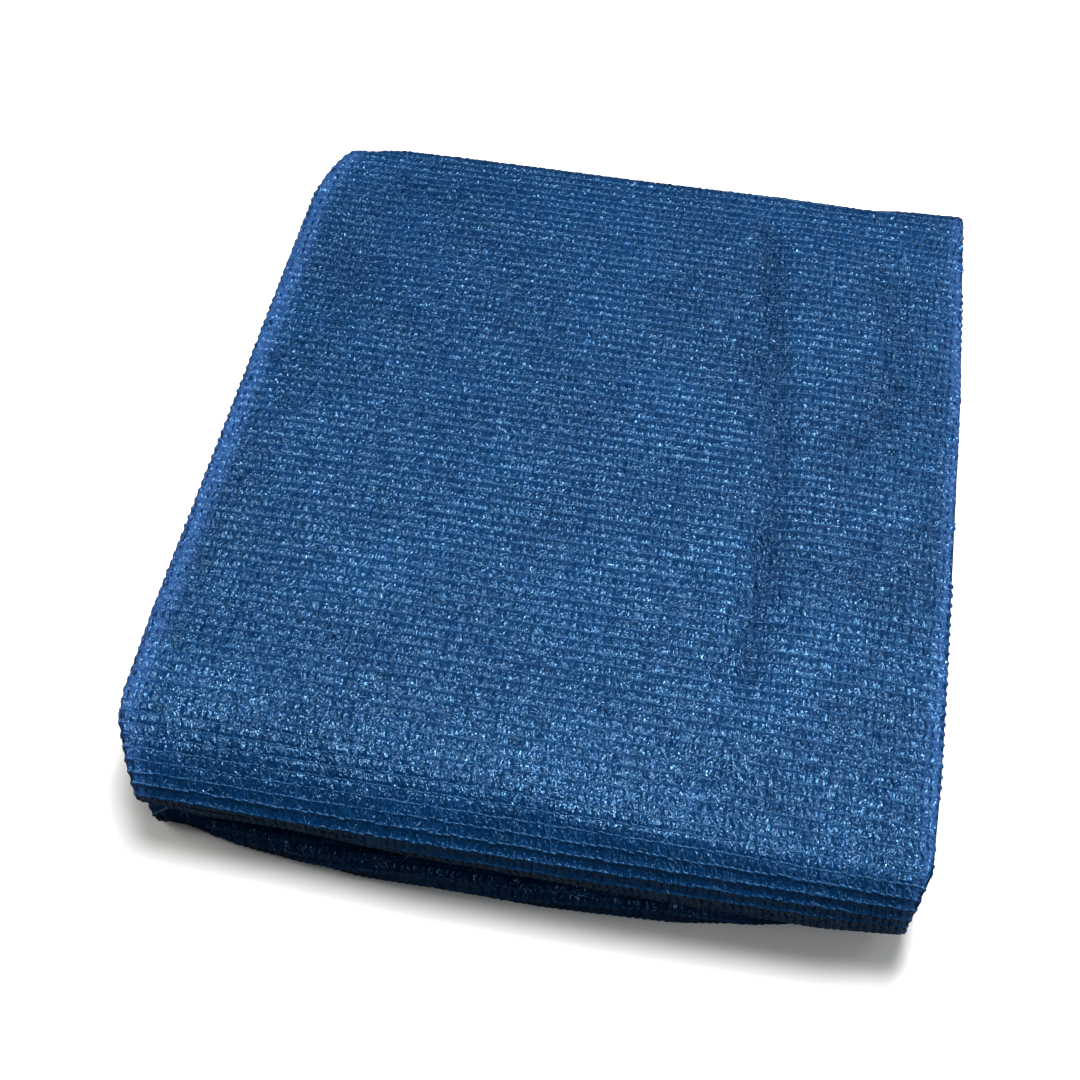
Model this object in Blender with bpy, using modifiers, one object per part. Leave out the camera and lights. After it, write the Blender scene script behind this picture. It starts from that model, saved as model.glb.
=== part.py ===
"""A knitted shade cloth, folded flat for storage.

The cloth is one sheet, folded both ways. First its width is folded in three, like a letter, into a strip
as wide as the packet, so that each side of the strip shows a rounded side fold. Then the strip is folded
back and forth: six passes of it lie nested round one big front fold, the upper bundle, and two more
passes lie under them as a thin lower bundle.

Metres, +Z up, front towards -Y. The ribs of the knit run along X. The origin is under the middle of the
packet, on the surface that it lies on.
"""

import math
from collections import namedtuple

import bmesh
import bpy
from mathutils import Vector

MM = 0.001

# The cloth and how tightly it lies
SHEET = 1.4 * MM
LAYER_GAP = 0.5 * MM
PASS_GAP = 0.5 * MM
BUNDLE_GAP = 1.0 * MM
LAYER_STEP = SHEET + LAYER_GAP
STRIP = 3 * SHEET + 2 * LAYER_GAP
PASS_STEP = STRIP + PASS_GAP

# The packet's edges as seen from above: (y, x) along its sides, (x, y) along its back
LEFT_EDGE = [
    (-158 * MM, -129.0 * MM),
    (-148 * MM, -134.5 * MM),
    (-134 * MM, -140.0 * MM),
    (-90 * MM, -140.5 * MM),
    (0 * MM, -139.0 * MM),
    (105 * MM, -137.5 * MM),
    (130 * MM, -137.0 * MM),
    (146 * MM, -133.5 * MM),
    (156 * MM, -129.0 * MM),
    (162 * MM, -126.5 * MM),
]
RIGHT_EDGE = [
    (-161 * MM, 134.0 * MM),
    (-152 * MM, 138.0 * MM),
    (-136 * MM, 139.3 * MM),
    (-60 * MM, 139.5 * MM),
    (60 * MM, 138.0 * MM),
    (165 * MM, 134.5 * MM),
]
BACK_EDGE = [
    (-140 * MM, 157.0 * MM),
    (-118 * MM, 161.5 * MM),
    (-80 * MM, 163.0 * MM),
    (0 * MM, 163.5 * MM),
    (60 * MM, 165.0 * MM),
    (96 * MM, 164.0 * MM),
    (112 * MM, 166.0 * MM),
    (136 * MM, 167.0 * MM),
]
HALF_WIDTH = 139.5 * MM

# One row for each pass of the strip, from the floor up: how far its sides and its back lie inside those edges
Pass = namedtuple("Pass", "left right back")
PASSES = (
    Pass(7.0 * MM, 9.5 * MM, 12.0 * MM),
    Pass(4.5 * MM, 7.0 * MM, 8.0 * MM),
    Pass(3.0 * MM, 2.5 * MM, 8.0 * MM),
    Pass(1.5 * MM, 1.0 * MM, 4.5 * MM),
    Pass(4.0 * MM, 3.0 * MM, 4.5 * MM),
    Pass(2.0 * MM, 4.5 * MM, 16.0 * MM),
    Pass(2.5 * MM, 1.5 * MM, 0.0 * MM),
    Pass(0.0 * MM, 0.0 * MM, 0.0 * MM),
)
LOWER_BUNDLE = (0, 1)
TOP_PASS = 7

# Places across the packet where the shape changes, and how finely the passes and folds are stepped
X_STATIONS = [x * MM for x in (-128, -100, -45, 15, 54, 68, 80, 97, 128)]
TOP_STOPS = [y * MM for y in (-108, -84, -58, -30, -2, 26, 54, 80, 104, 124, 138, 149)]
INNER_STOPS = [-60 * MM, 118 * MM]
LOWER_STOPS = [-60 * MM, 60 * MM]
ARCH_START = -60.0 * MM
BACK_FOLD_STEPS = 5
OUTER_FOLD_STEPS = 10
MIDDLE_FOLD_STEPS = 7
INNER_FOLD_STEPS = 5
LOWER_FOLD_STEPS = 6

# The front folds. "reach" is how far the outer fold's curve runs forward, long at the left and short at the right.
REACH_LEFT = 25.0 * MM
REACH_RIGHT = 12.5 * MM
NEST_STEP = PASS_STEP + 0.6 * MM
ARCH_HEIGHT = 1.0 * MM

# Front edges as seen from above, as (x, y) from left to right
UPPER_NOSE = [
    (-140 * MM, -157.0 * MM),
    (-115 * MM, -159.0 * MM),
    (-85 * MM, -158.5 * MM),
    (-35 * MM, -161.0 * MM),
    (40 * MM, -161.5 * MM),
    (110 * MM, -160.5 * MM),
    (138 * MM, -157.5 * MM),
]
LOWER_NOSE = [
    (-126 * MM, -152.0 * MM),
    (-105 * MM, -156.5 * MM),
    (-60 * MM, -160.0 * MM),
    (10 * MM, -160.0 * MM),
    (60 * MM, -157.5 * MM),
    (90 * MM, -153.5 * MM),
    (130 * MM, -145.0 * MM),
]

# The top pass lies loose over the others: a low crown with shallow troughs pressed into it
CROWN = 2.4 * MM
LEAST_LOOSE = 0.15 * MM
Trough = namedtuple("Trough", "depth half_width line")
TROUGHS = (
    Trough(
        1.5 * MM,
        8.0 * MM,
        [(150 * MM, 50 * MM), (82 * MM, 60 * MM), (-2 * MM, 72 * MM), (-75 * MM, 71 * MM), (-131 * MM, 74 * MM)],
    ),
    Trough(
        0.8 * MM,
        7.0 * MM,
        [(145 * MM, 97 * MM), (120 * MM, 107 * MM), (88 * MM, 115 * MM), (55 * MM, 113 * MM), (15 * MM, 92 * MM)],
    ),
    Trough(
        1.0 * MM,
        12.0 * MM,
        [(150 * MM, -94 * MM), (108 * MM, -106 * MM), (54 * MM, -116 * MM), (20 * MM, -118 * MM)],
    ),
)

CLOTH_BLUE = (0.016, 0.085, 0.235, 1.0)


def clamp(value, low=0.0, high=1.0):
    return max(low, min(high, value))


def smooth(value):
    value = clamp(value)
    return value * value * (3 - 2 * value)


def along(points, at):
    """The second number of a table of pairs, read between its rows at the first number."""
    points = sorted(points)
    if at <= points[0][0]:
        return points[0][1]
    for (a, value_a), (b, value_b) in zip(points, points[1:]):
        if at <= b:
            return value_a + (value_b - value_a) * (at - a) / (b - a)
    return points[-1][1]


def level(number):
    """Height of a pass's middle above the floor, where nothing lifts it."""
    lift = 0.0 if number in LOWER_BUNDLE else BUNDLE_GAP
    return STRIP / 2 + number * PASS_STEP + lift


def arch(x, y):
    """The upper bundle's front is arched up a little off the lower one."""
    across = 1 - clamp(abs(x - 20 * MM) / (100 * MM)) ** 2
    forward = clamp((ARCH_START - y) / (75 * MM))
    return ARCH_HEIGHT * across * forward


def trough_depth(x, y):
    depth = 0.0
    for trough in TROUGHS:
        first, last = min(trough.line)[0], max(trough.line)[0]
        fade = smooth((y - first) / (25 * MM)) * smooth((last + 10 * MM - y) / (25 * MM))
        away = (x - along(trough.line, y)) / trough.half_width
        depth += trough.depth * fade * math.exp(-away * away)
    return depth


def looseness(x, y):
    """How far the top pass lies above the one under it, beyond their usual gap."""
    across = 1 - clamp(abs(x) / HALF_WIDTH) ** 5
    front = smooth((y + 152 * MM) / (46 * MM))
    back = smooth((along(BACK_EDGE, x) - y) / (40 * MM))
    crown = CROWN * across * front * back
    ripple = 0.25 * MM * math.sin(x / (23 * MM) + 1.1) * math.sin(y / (31 * MM)) * front * back
    return max(LEAST_LOOSE, crown + ripple - trough_depth(x, y))


def height(number, x, y):
    """Height of a pass's middle at a place."""
    z = level(number)
    if number not in LOWER_BUNDLE:
        z += arch(x, y)
    if number == TOP_PASS:
        z += looseness(x, y)
    return z


def reach(x):
    share = clamp((x + HALF_WIDTH) / (2 * HALF_WIDTH))
    return REACH_LEFT + (REACH_RIGHT - REACH_LEFT) * smooth(share)


def upper_fold_start(x):
    """Where the passes of the upper bundle begin to turn down at the front."""
    return along(UPPER_NOSE, x) + STRIP / 2 + reach(x)


def lower_fold_start(x):
    return along(LOWER_NOSE, x) + STRIP / 2 + PASS_STEP / 2


def back_end(number, x):
    return along(BACK_EDGE, x) - PASSES[number].back


def back_fold_start(number, x):
    """Where a pass begins to turn over at the back."""
    return back_end(number, x) - STRIP / 2 - PASS_STEP / 2


Station = namedtuple("Station", "y z left right")


def sides(number, y):
    """Left and right edges of a pass."""
    return along(LEFT_EDGE, y) + PASSES[number].left, along(RIGHT_EDGE, y) - PASSES[number].right


def straight(number, x, stops, forwards=True):
    """Stations along a pass. The ends of the pass belong to its folds."""
    places = sorted(stops, reverse=forwards)
    return [Station(y, height(number, x, y), *sides(number, y)) for y in places]


def turn(x, upper, lower, start, length, steps, front, downwards):
    """Stations round a fold that joins two passes. "length" is how far it runs past its start."""
    top, bottom = height(upper, x, start), height(lower, x, start)
    middle, half = (top + bottom) / 2, (top - bottom) / 2
    stations = []
    for step in range(steps + 1):
        share = step / steps
        angle = math.pi * share
        forward = length * math.sin(angle)
        y = start - forward if front else start + forward
        edges = [a + (b - a) * share for a, b in zip(sides(upper, y), sides(lower, y))]
        stations.append(Station(y, middle + half * math.cos(angle), *edges))
    return stations if downwards else stations[::-1]


def section(x):
    """The strip's whole way through the packet at one x, from its inner end to its end on the floor."""
    front = upper_fold_start(x)
    outer = reach(x)
    middle = outer - NEST_STEP
    half_step = PASS_STEP / 2
    inner_start = front - min(0.25 * middle, middle - PASS_STEP - half_step - 0.3 * MM)
    back_34, back_67, back_12 = (back_fold_start(n, x) for n in (3, 6, 1))
    low_front = lower_fold_start(x)
    inner_end, floor_end = back_end(5, x), back_end(0, x)
    ends = [Station(inner_end, height(5, x, inner_end), *sides(5, inner_end))]
    ends += straight(5, x, INNER_STOPS)
    ends += turn(x, 5, 4, inner_start, half_step, INNER_FOLD_STEPS, True, True)
    ends += straight(4, x, INNER_STOPS, forwards=False)
    ends += turn(x, 4, 3, back_34, half_step, BACK_FOLD_STEPS, False, True)
    ends += straight(3, x, INNER_STOPS)
    ends += turn(x, 6, 3, front, middle, MIDDLE_FOLD_STEPS, True, False)
    ends += straight(6, x, INNER_STOPS, forwards=False)
    ends += turn(x, 7, 6, back_67, half_step, BACK_FOLD_STEPS, False, False)
    ends += straight(7, x, TOP_STOPS)
    ends += turn(x, 7, 2, front, outer, OUTER_FOLD_STEPS, True, True)
    ends += straight(2, x, INNER_STOPS, forwards=False)
    ends += turn(x, 2, 1, back_12, half_step, BACK_FOLD_STEPS, False, True)
    ends += straight(1, x, LOWER_STOPS)
    ends += turn(x, 1, 0, low_front, half_step, LOWER_FOLD_STEPS, True, True)
    ends += straight(0, x, LOWER_STOPS, forwards=False)
    ends.append(Station(floor_end, height(0, x, floor_end), *sides(0, floor_end)))
    return ends


def letter_fold():
    """The strip's own cross-section, as (anchor, x, offset) for the middle of the sheet: one free end, the
    bottom layer, round the left side fold, the outer layer, round the right side fold, the tucked layer."""
    places = [("across", x, -LAYER_STEP) for x in reversed(X_STATIONS)]
    places.insert(0, ("right", 3.0 * MM, -LAYER_STEP))
    for step in range(5):
        angle = math.pi * (0.5 + step / 4)
        places.append(("left", STRIP / 2 + LAYER_STEP * math.cos(angle), -LAYER_STEP * math.sin(angle)))
    places += [("across", x, LAYER_STEP) for x in X_STATIONS]
    fold = LAYER_STEP / 2
    for step in range(4):
        angle = math.pi * (0.5 - step / 3)
        places.append(("right", SHEET / 2 + fold - fold * math.cos(angle), fold + fold * math.sin(angle)))
    places += [("across", x, 0.0) for x in reversed(X_STATIONS)]
    places.append(("left", 4.0 * MM, 0.0))
    return places


def place_x(anchor, x, left, right):
    if anchor == "left":
        return left + x
    if anchor == "right":
        return right - x
    return left + (x + HALF_WIDTH) * (right - left) / (2 * HALF_WIDTH)


def middle_surface():
    """Points of the sheet's middle, one row for each station along the strip."""
    rows = []
    count = len(section(0.0))
    for index in range(count):
        row = []
        for anchor, x, offset in letter_fold():
            nominal = place_x(anchor, x, -HALF_WIDTH, HALF_WIDTH)
            stations = sections(nominal)
            station = stations[index]
            normal = outward(stations, index)
            real_x = place_x(anchor, x, station.left, station.right)
            row.append(Vector((real_x, station.y + normal[0] * offset, station.z + normal[1] * offset)))
        rows.append(row)
    return rows


SECTIONS = {}


def sections(x):
    """The section at one x, worked out once."""
    key = round(x, 6)
    if key not in SECTIONS:
        SECTIONS[key] = section(key)
    return SECTIONS[key]


def outward(stations, index):
    """Unit normal in the section, towards the strip's outer layer. Long runs count more than short steps."""
    before = stations[max(index - 1, 0)]
    after = stations[min(index + 1, len(stations) - 1)]
    run_y, run_z = after.y - before.y, after.z - before.z
    length = math.hypot(run_y, run_z)
    return run_z / length, -run_y / length


def cloth_object(name, collection):
    rows = middle_surface()
    mesh = bpy.data.meshes.new(name)
    sheet = bmesh.new()
    grid = [[sheet.verts.new(point) for point in row] for row in rows]
    for row, following in zip(grid, grid[1:]):
        for a, b, c, d in zip(row, row[1:], following[1:], following):
            sheet.faces.new((a, b, c, d))
    sheet.to_mesh(mesh)
    sheet.free()
    cloth = bpy.data.objects.new(name, mesh)
    collection.objects.link(cloth)
    thickness = cloth.modifiers.new("sheet thickness", "SOLIDIFY")
    thickness.thickness = SHEET
    thickness.offset = 0.0
    thickness.use_even_offset = True
    cloth.data.shade_smooth()
    return cloth


def cloth_material():
    material = bpy.data.materials.new("blue knitted net")
    material.use_nodes = True
    shader = material.node_tree.nodes["Principled BSDF"]
    shader.inputs["Base Color"].default_value = CLOTH_BLUE
    shader.inputs["Roughness"].default_value = 0.55
    shader.inputs["Metallic"].default_value = 0.0
    return material


def settle_on_floor(thing):
    """Moves the object's points so that the origin is on the floor, under the middle of its box."""
    bpy.context.view_layer.update()
    evaluated = thing.evaluated_get(bpy.context.evaluated_depsgraph_get())
    corners = [Vector(corner) for corner in evaluated.bound_box]
    low = Vector(min(c[k] for c in corners) for k in range(3))
    high = Vector(max(c[k] for c in corners) for k in range(3))
    shift = Vector((-(low.x + high.x) / 2, -(low.y + high.y) / 2, -low.z))
    for vertex in thing.data.vertices:
        vertex.co += shift


def main():
    for thing in list(bpy.data.objects):
        bpy.data.objects.remove(thing)
    packet = bpy.data.collections.new("folded shade cloth")
    bpy.context.scene.collection.children.link(packet)
    cloth = cloth_object("folded_cloth", packet)
    cloth.data.materials.append(cloth_material())
    settle_on_floor(cloth)


main()
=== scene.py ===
# %% [markdown]
# # A folded shade cloth
# Shade cloth is a net knitted from plastic. Rows of chain stitches run side by side as thin ribs,
# and flat shiny tapes are laid from rib to rib between them. Here one long sheet of it has been
# folded into a packet.
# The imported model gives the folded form. This lesson lays a thin sheet along the same folds, and
# then knits the ribs and tapes on to it as real meshes, because from a step away they are what
# the eye sees.

import math
from collections import namedtuple

import bpy
import numpy as np
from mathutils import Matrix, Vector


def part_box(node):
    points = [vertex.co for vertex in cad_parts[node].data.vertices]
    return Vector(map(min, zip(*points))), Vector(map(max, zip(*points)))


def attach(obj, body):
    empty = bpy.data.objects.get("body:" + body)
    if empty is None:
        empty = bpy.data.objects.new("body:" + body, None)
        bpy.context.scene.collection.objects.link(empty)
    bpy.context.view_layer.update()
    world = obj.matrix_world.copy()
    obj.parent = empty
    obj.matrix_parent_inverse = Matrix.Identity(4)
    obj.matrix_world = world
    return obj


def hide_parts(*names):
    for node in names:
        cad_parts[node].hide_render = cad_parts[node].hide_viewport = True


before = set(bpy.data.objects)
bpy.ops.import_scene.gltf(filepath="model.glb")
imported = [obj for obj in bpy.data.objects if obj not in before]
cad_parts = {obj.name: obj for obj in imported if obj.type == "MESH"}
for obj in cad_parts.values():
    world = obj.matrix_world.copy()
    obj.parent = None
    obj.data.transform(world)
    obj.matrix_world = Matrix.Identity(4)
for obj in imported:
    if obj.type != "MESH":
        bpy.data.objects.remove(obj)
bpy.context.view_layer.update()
CLOTH_NODE = "folded_cloth"
MM = 0.001
CLOTH_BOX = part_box(CLOTH_NODE)
print("nodes", sorted(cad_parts))
print("cloth box", [[round(v, 4) for v in corner] for corner in CLOTH_BOX])

# %% [markdown]
# ## The camera
# The packet is seen from its front, 53 degrees down, from about 0.75 m. The lens and the place
# come from the knit: its ribs and stitches have the same pitch everywhere, so the way they shrink
# towards the back fixes both.

# %% Camera
CAMERA_PLACE = (55.7, -455.1, 604.7)
CAMERA_ANGLES = (36.99, -0.905, 10.196)
camera_data = bpy.data.cameras.new("camera")
camera_data.lens = 63.56
camera_data.sensor_width = 36.0
camera = bpy.data.objects.new("camera", camera_data)
camera.location = [v * MM for v in CAMERA_PLACE]
camera.rotation_euler = [math.radians(angle) for angle in CAMERA_ANGLES]
bpy.context.scene.collection.objects.link(camera)
bpy.context.scene.camera = camera
print("camera at", [round(v, 3) for v in camera.location])

# %% [markdown]
# ## The folds
# The sheet is folded twice. Its width is folded in three like a letter, which gives a strip with
# two rounded sides. The strip then goes back and forth in eight passes. All sizes are those of
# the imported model, in millimetres here. The outline is a few points along each edge of the packet
# as seen from above, and each pass is drawn in from it a little at its left, right and back.

# %% The strip and the packet's outline
SHEET = 1.4
LAYER_STEP = SHEET + 0.5
STRIP = SHEET + 2 * LAYER_STEP
PASS_STEP = STRIP + 0.5
BUNDLE_GAP = 1.0
HALF_WIDTH = 139.5
LEFT_EDGE = [
    (-158, -129.0), (-148, -134.5), (-134, -140.0), (-90, -140.5), (0, -139.0),
    (105, -137.5), (130, -137.0), (146, -133.5), (156, -129.0), (162, -126.5),
]
RIGHT_EDGE = [
    (-162, 132.0), (-154, 137.5), (-142, 141.3), (-120, 141.5), (-60, 141.3),
    (60, 140.0), (165, 136.5),
]
BACK_EDGE = [
    (-140, 159.5), (-118, 164.0), (-80, 165.0), (0, 165.3), (60, 166.8),
    (96, 166.0), (112, 168.0), (136, 169.0),
]
UPPER_NOSE = [
    (-140, -157.0), (-115, -159.0), (-85, -158.5), (-35, -161.0), (40, -161.5),
    (110, -160.5), (138, -157.5),
]
LOWER_NOSE = [
    (-126, -152.0), (-105, -156.5), (-60, -160.0), (10, -160.0), (60, -157.5),
    (90, -153.5), (130, -145.0),
]
Pass = namedtuple("Pass", "left right back")
PASSES = (
    Pass(7.0, 9.5, 12.0), Pass(4.5, 7.0, 8.0), Pass(3.0, 2.5, 8.0), Pass(1.5, 1.0, 4.5),
    Pass(4.0, 3.0, 4.5), Pass(2.0, 4.5, 16.0), Pass(2.5, 1.5, 0.0), Pass(0.0, 0.0, 0.0),
)
TOP_PASS = 7
LOWER_BUNDLE = (0, 1)
print("strip", round(STRIP, 2), "mm thick,", len(PASSES), "passes")

# %% [markdown]
# The cloth is loose, so the top pass is crowned and shallow troughs cross it. The big front fold
# reaches further forward at the left than at the right, and its upper half slopes like a ramp.

# %% The front fold, the crown and the troughs
FRONT_REACH = [(-140, 29.0), (-70, 28.0), (-10, 22.0), (40, 17.0), (100, 12.0), (140, 10.5)]
FRONT_FULLNESS = [(-140, 1.35), (-50, 1.38), (20, 1.5), (140, 1.7)]
ROUND_FULLNESS = 2.0
NEST_STEP = PASS_STEP + 0.6
INNER_SHARE, INNER_CLEAR = 0.25, 0.3
ARCH_HEIGHT, ARCH_START, ARCH_LENGTH = 1.0, -60.0, 75
ARCH_MIDDLE, ARCH_HALF = 20, 100
CROWN, LEAST_LOOSE = 2.4, 0.15
CROWN_POWER, CROWN_FRONT, CROWN_RISE, CROWN_FALL = 5, -152, 46, 40
RIPPLE, RIPPLE_X, RIPPLE_Y, RIPPLE_PHASE = 0.25, 23, 31, 1.1
TROUGH_FADE, TROUGH_TAIL = 25, 10
Trough = namedtuple("Trough", "depth half_width line")
LONG_LINE = [(-98, 71), (-2, 74), (82, 65), (150, 55)]
SHORT_LINE = [(15, 92), (55, 113), (88, 115), (120, 107), (145, 97)]
BACK_LINE = [(20, -118), (54, -116), (108, -106), (150, -94)]
TROUGHS = (
    Trough(1.5, 8.0, LONG_LINE), Trough(0.8, 7.0, SHORT_LINE), Trough(1.0, 12.0, BACK_LINE),
    Trough(0.8, 3.0, LONG_LINE), Trough(0.5, 3.0, SHORT_LINE),
)
print("troughs", [(trough.depth, trough.half_width) for trough in TROUGHS])

# %% [markdown]
# A point of the folded sheet needs the height of its pass, and where the folds at the two ends
# begin. NumPy works these out for all places across the packet at once, so each function takes
# and gives arrays.

# %% The form's heights


def along(points, at):
    """The second number of a table of pairs, read between its rows at the first number."""
    table = np.array(points, float)
    return np.interp(at, table[:, 0], table[:, 1])


def smooth(value):
    value = np.clip(value, 0.0, 1.0)
    return value * value * (3 - 2 * value)


def trough_depth(x, y):
    depth = 0.0
    for trough in TROUGHS:
        first, last = trough.line[0][0], trough.line[-1][0]
        begins, ends = (y - first) / TROUGH_FADE, (last + TROUGH_TAIL - y) / TROUGH_FADE
        away = (x - along(trough.line, y)) / trough.half_width
        depth = depth + trough.depth * (smooth(begins) * smooth(ends)) * np.exp(-away * away)
    return depth


def looseness(x, y):
    """How far the top pass lies above the one under it, beyond their usual gap."""
    across = 1 - np.clip(np.abs(x) / HALF_WIDTH, 0, 1) ** CROWN_POWER
    front = smooth((y - CROWN_FRONT) / CROWN_RISE)
    back = smooth((along(BACK_EDGE, x) - y) / CROWN_FALL)
    ripple = RIPPLE * np.sin(x / RIPPLE_X + RIPPLE_PHASE) * np.sin(y / RIPPLE_Y) * front * back
    return np.maximum(LEAST_LOOSE, CROWN * across * front * back + ripple - trough_depth(x, y))


def height(number, x, y):
    """Height of the middle of a pass."""
    z = STRIP / 2 + number * PASS_STEP + 0 * (x + y)
    if number not in LOWER_BUNDLE:
        across = 1 - np.clip(np.abs(x - ARCH_MIDDLE) / ARCH_HALF, 0, 1) ** 2
        z = z + BUNDLE_GAP + ARCH_HEIGHT * across * np.clip((ARCH_START - y) / ARCH_LENGTH, 0, 1)
    if number == TOP_PASS:
        z = z + looseness(x, y)
    return z


print("top of the crown", round(float(height(TOP_PASS, 0.0, 0.0)) + STRIP / 2, 2), "mm")

# %% Passes and folds


def sides(number, y):
    return along(LEFT_EDGE, y) + PASSES[number].left, along(RIGHT_EDGE, y) - PASSES[number].right


def back_end(number, x):
    return along(BACK_EDGE, x) - PASSES[number].back


def station(number, x, y):
    """One station of a pass: its y, z, left and right, for every place across."""
    return y, height(number, x, y), *sides(number, y)


def straight(number, x, stops):
    return [station(number, x, y + 0 * x) for y in stops]


def turn(x, upper, lower, start, length, steps, towards, downwards, fullness=ROUND_FULLNESS):
    """
    Stations round a fold that joins two passes. "towards" is -1 at the front and 1 at the back.
    The nearer the fullness is to 1, the more the fold's upper half slopes down like a ramp.
    """
    top, bottom = height(upper, x, start), height(lower, x, start)
    stations = []
    for share in np.linspace(0, 1, steps + 1):
        power = 2 / fullness if share <= 0.5 else 1.0
        out, drop = math.sin(math.pi * share) ** power, abs(math.cos(math.pi * share)) ** power
        y = start + towards * length * out
        z = (top + bottom) / 2 + (top - bottom) / 2 * math.copysign(1, 0.5 - share) * drop
        edges = [a + (b - a) * share for a, b in zip(sides(upper, y), sides(lower, y))]
        stations.append((y, z, *edges))
    return stations if downwards else stations[::-1]


print("top pass at the middle", [round(float(v), 1) for v in station(TOP_PASS, 0.0, 0.0)])

# %% The strip's way through the packet
INNER_STOPS = list(range(-100, 131, 23))
TOP_STOPS = list(range(-110, 151, 6))
MIDDLE_STOP = -2
LOWER_STOPS = list(range(-130, 131, 26))
INNER_STEPS, SMALL_STEPS, NEST_STEPS, FRONT_STEPS = 6, 8, 10, 20
FRONT, BACK = -1, 1


def section(x):
    """Every station of the strip, from its inner end to its end on the floor."""
    half_step = PASS_STEP / 2
    outer, fullness = along(FRONT_REACH, x), along(FRONT_FULLNESS, x)
    nested = outer - NEST_STEP
    front = along(UPPER_NOSE, x) + STRIP / 2 + outer
    inner = front - np.minimum(INNER_SHARE * nested, nested - PASS_STEP - half_step - INNER_CLEAR)
    low_front = along(LOWER_NOSE, x) + STRIP / 2 + half_step
    back_34, back_67, back_12 = (back_end(n, x) - STRIP / 2 - half_step for n in (3, 6, 1))
    backwards, forwards = INNER_STOPS, INNER_STOPS[::-1]
    stations = [station(5, x, back_end(5, x))]
    stations += straight(5, x, forwards)
    stations += turn(x, 5, 4, inner, half_step, INNER_STEPS, FRONT, True)
    stations += straight(4, x, backwards)
    stations += turn(x, 4, 3, back_34, half_step, SMALL_STEPS, BACK, True)
    stations += straight(3, x, forwards)
    stations += turn(x, 6, 3, front, nested, NEST_STEPS, FRONT, False, fullness)
    stations += straight(6, x, backwards)
    stations += turn(x, 7, 6, back_67, half_step, SMALL_STEPS, BACK, False)
    stations += straight(7, x, TOP_STOPS[::-1])
    stations += turn(x, 7, 2, front, outer, FRONT_STEPS, FRONT, True, fullness)
    stations += straight(2, x, backwards)
    stations += turn(x, 2, 1, back_12, half_step, SMALL_STEPS, BACK, True)
    stations += straight(1, x, LOWER_STOPS[::-1])
    stations += turn(x, 1, 0, low_front, half_step, SMALL_STEPS, FRONT, True)
    stations += straight(0, x, LOWER_STOPS)
    stations.append(station(0, x, back_end(0, x)))
    return np.array(stations)


print("stations along the strip", len(section(np.zeros(1))))

# %% [markdown]
# Later steps find their place on the strip by the number of its station, so the first station of
# each fold and of the top pass is counted here.

# %% Where the folds begin
PASS_5_FRONT = 1 + len(INNER_STOPS)
BACK_34 = PASS_5_FRONT + INNER_STEPS + 1 + len(INNER_STOPS)
NEST_FRONT = BACK_34 + SMALL_STEPS + 1 + len(INNER_STOPS)
BACK_67 = NEST_FRONT + NEST_STEPS + 1 + len(INNER_STOPS)
FIRST_TOP = BACK_67 + SMALL_STEPS + 1
TOP_END = FIRST_TOP + len(TOP_STOPS)
FRONT_END = TOP_END + FRONT_STEPS + 1
BACK_12 = FRONT_END + len(INNER_STOPS)
LOWER_FRONT = BACK_12 + SMALL_STEPS + 1 + len(LOWER_STOPS)
print("the top pass is stations", FIRST_TOP, "to", TOP_END)

# %% [markdown]
# ## The letter fold
# Across the strip the sheet makes three layers. The profile starts at the free edge of the bottom
# layer, turns round the left side, crosses over the top as the outer layer, and turns in at the
# right side. Each profile point is a place across the packet and an offset from the strip's
# middle.

# %% The profile
ACROSS = np.concatenate([
    np.linspace(-133, 40, 21)[:-1], np.linspace(40, 84, 16)[:-1], np.linspace(84, 133, 12),
])
LEFT_POINTS, RIGHT_POINTS = 9, 7
BOTTOM_EDGE_IN, INNER_EDGE_IN = 3.0, 4.0
Profile = namedtuple("Profile", "anchor x offset")


def letter_fold():
    places = [Profile("right", BOTTOM_EDGE_IN, -LAYER_STEP)]
    places += [Profile("across", x, -LAYER_STEP) for x in ACROSS[::-1]]
    for angle in np.linspace(0.5, 1.5, LEFT_POINTS) * math.pi:
        x = STRIP / 2 + LAYER_STEP * math.cos(angle)
        places.append(Profile("left", x, -LAYER_STEP * math.sin(angle)))
    places += [Profile("across", x, LAYER_STEP) for x in ACROSS]
    fold = LAYER_STEP / 2
    for angle in np.linspace(0.5, -0.5, RIGHT_POINTS) * math.pi:
        x = SHEET / 2 + fold - fold * math.cos(angle)
        places.append(Profile("right", x, fold + fold * math.sin(angle)))
    places += [Profile("across", x, 0.0) for x in ACROSS[::-1]]
    places.append(Profile("left", INNER_EDGE_IN, 0.0))
    return places


print("profile points", len(letter_fold()))

# %% The whole sheet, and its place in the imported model


def folded_sheet():
    """The sheet's middle surface, as an array of stations by profile points."""
    places = letter_fold()
    anchor = np.array([place.anchor for place in places])
    shift = np.array([place.x for place in places])
    offset = np.array([place.offset for place in places])
    at_left, at_right = anchor == "left", anchor == "right"
    nominal = np.where(at_left, shift - HALF_WIDTH, np.where(at_right, HALF_WIDTH - shift, shift))
    y, z, left, right = section(nominal).transpose(1, 0, 2)
    run = np.array([np.gradient(y, axis=0), np.gradient(z, axis=0)])
    run /= np.linalg.norm(run, axis=0)
    between = left + (right - left) * ((shift + HALF_WIDTH) / (2 * HALF_WIDTH))
    x = np.where(at_left, left + shift, np.where(at_right, right - shift, between))
    return np.stack([x, y + run[1] * offset, z - run[0] * offset], axis=-1)


middle = folded_sheet()
low, high = (np.array(corner) / MM for corner in CLOTH_BOX)
own_low, own_high = middle.min(axis=(0, 1)) - SHEET / 2, middle.max(axis=(0, 1)) + SHEET / 2
SHIFT = np.array([*((low + high - own_low - own_high) / 2)[:2], low[2] - own_low[2]])


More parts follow.
